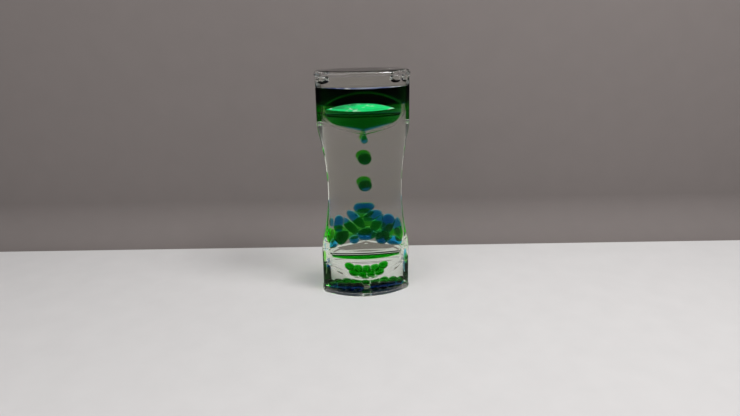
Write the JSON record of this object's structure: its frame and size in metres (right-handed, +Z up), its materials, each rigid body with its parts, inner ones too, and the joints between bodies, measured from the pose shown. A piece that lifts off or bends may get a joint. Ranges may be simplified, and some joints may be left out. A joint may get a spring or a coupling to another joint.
{
  "type": "liquid motion timer",
  "caption": "Clear waisted column in which blue and green liquid drips from upper funnels through oil onto lower funnels and gathers at the base; turned over to start again.",
  "frame": {"origin": "centre of the lower cap's rest face", "axes": "+Z up along the timer, +X across its width, -Y to the front compartment"},
  "size_m": [0.056, 0.0306, 0.14],
  "materials": {
    "clear_acrylic": "polished clear",
    "clear_oil": "clear liquid",
    "blue_liquid": "dyed clear liquid",
    "green_liquid": "dyed clear liquid"
  },
  "bodies": {
    "timer": {"front_shell": "clear_acrylic", "back_shell": "clear_acrylic", "divider": "clear_acrylic", "top_cap": "clear_acrylic", "bottom_cap": "clear_acrylic", "front_fill_plug": "clear_acrylic", "back_fill_plug": "clear_acrylic", "upper_front_funnel": "clear_acrylic", "upper_back_funnel": "clear_acrylic", "lower_front_funnel": "clear_acrylic", "lower_back_funnel": "clear_acrylic", "upper_front_plate": "clear_acrylic", "upper_back_plate": "clear_acrylic", "lower_front_plate": "clear_acrylic", "lower_back_plate": "clear_acrylic", "upper_front_baffle": "clear_acrylic", "upper_back_baffle": "clear_acrylic", "lower_front_baffle": "clear_acrylic", "lower_back_baffle": "clear_acrylic", "front_oil": "clear_oil", "back_oil": "clear_oil", "blue_reservoir": "blue_liquid", "blue_heap_drops": "blue_liquid", "blue_floor_drops": "blue_liquid", "blue_side_drops": "blue_liquid", "green_reservoir": "green_liquid", "green_heap_drops": "green_liquid", "green_floor_drops": "green_liquid", "green_dish_drops": "green_liquid", "green_side_drops": "green_liquid"},
    "blue_upper_drop": {"blue_upper_drop": "blue_liquid"},
    "blue_lower_drop": {"blue_lower_drop": "blue_liquid"},
    "green_upper_drop": {"green_upper_drop": "green_liquid"},
    "green_lower_drop": {"green_lower_drop": "green_liquid"}
  },
  "joints": [
    {"name": "blue_upper_drop_fall", "type": "slide", "parent": "timer", "child": "blue_upper_drop", "axis": [0, 0, 1], "range_m": [-0.007, 0.0052]},
    {"name": "blue_lower_drop_fall", "type": "slide", "parent": "timer", "child": "blue_lower_drop", "axis": [0, 0, 1], "range_m": [-0.007, 0.0052]},
    {"name": "green_upper_drop_fall", "type": "slide", "parent": "timer", "child": "green_upper_drop", "axis": [0, 0, 1], "range_m": [-0.007, 0.0052]},
    {"name": "green_lower_drop_fall", "type": "slide", "parent": "timer", "child": "green_lower_drop", "axis": [0, 0, 1], "range_m": [-0.007, 0.0052]}
  ],
  "couplings": [
    {"joint": "blue_lower_drop_fall", "follows": "blue_upper_drop_fall", "ratio": 1},
    {"joint": "green_lower_drop_fall", "follows": "green_upper_drop_fall", "ratio": 1}
  ]
}
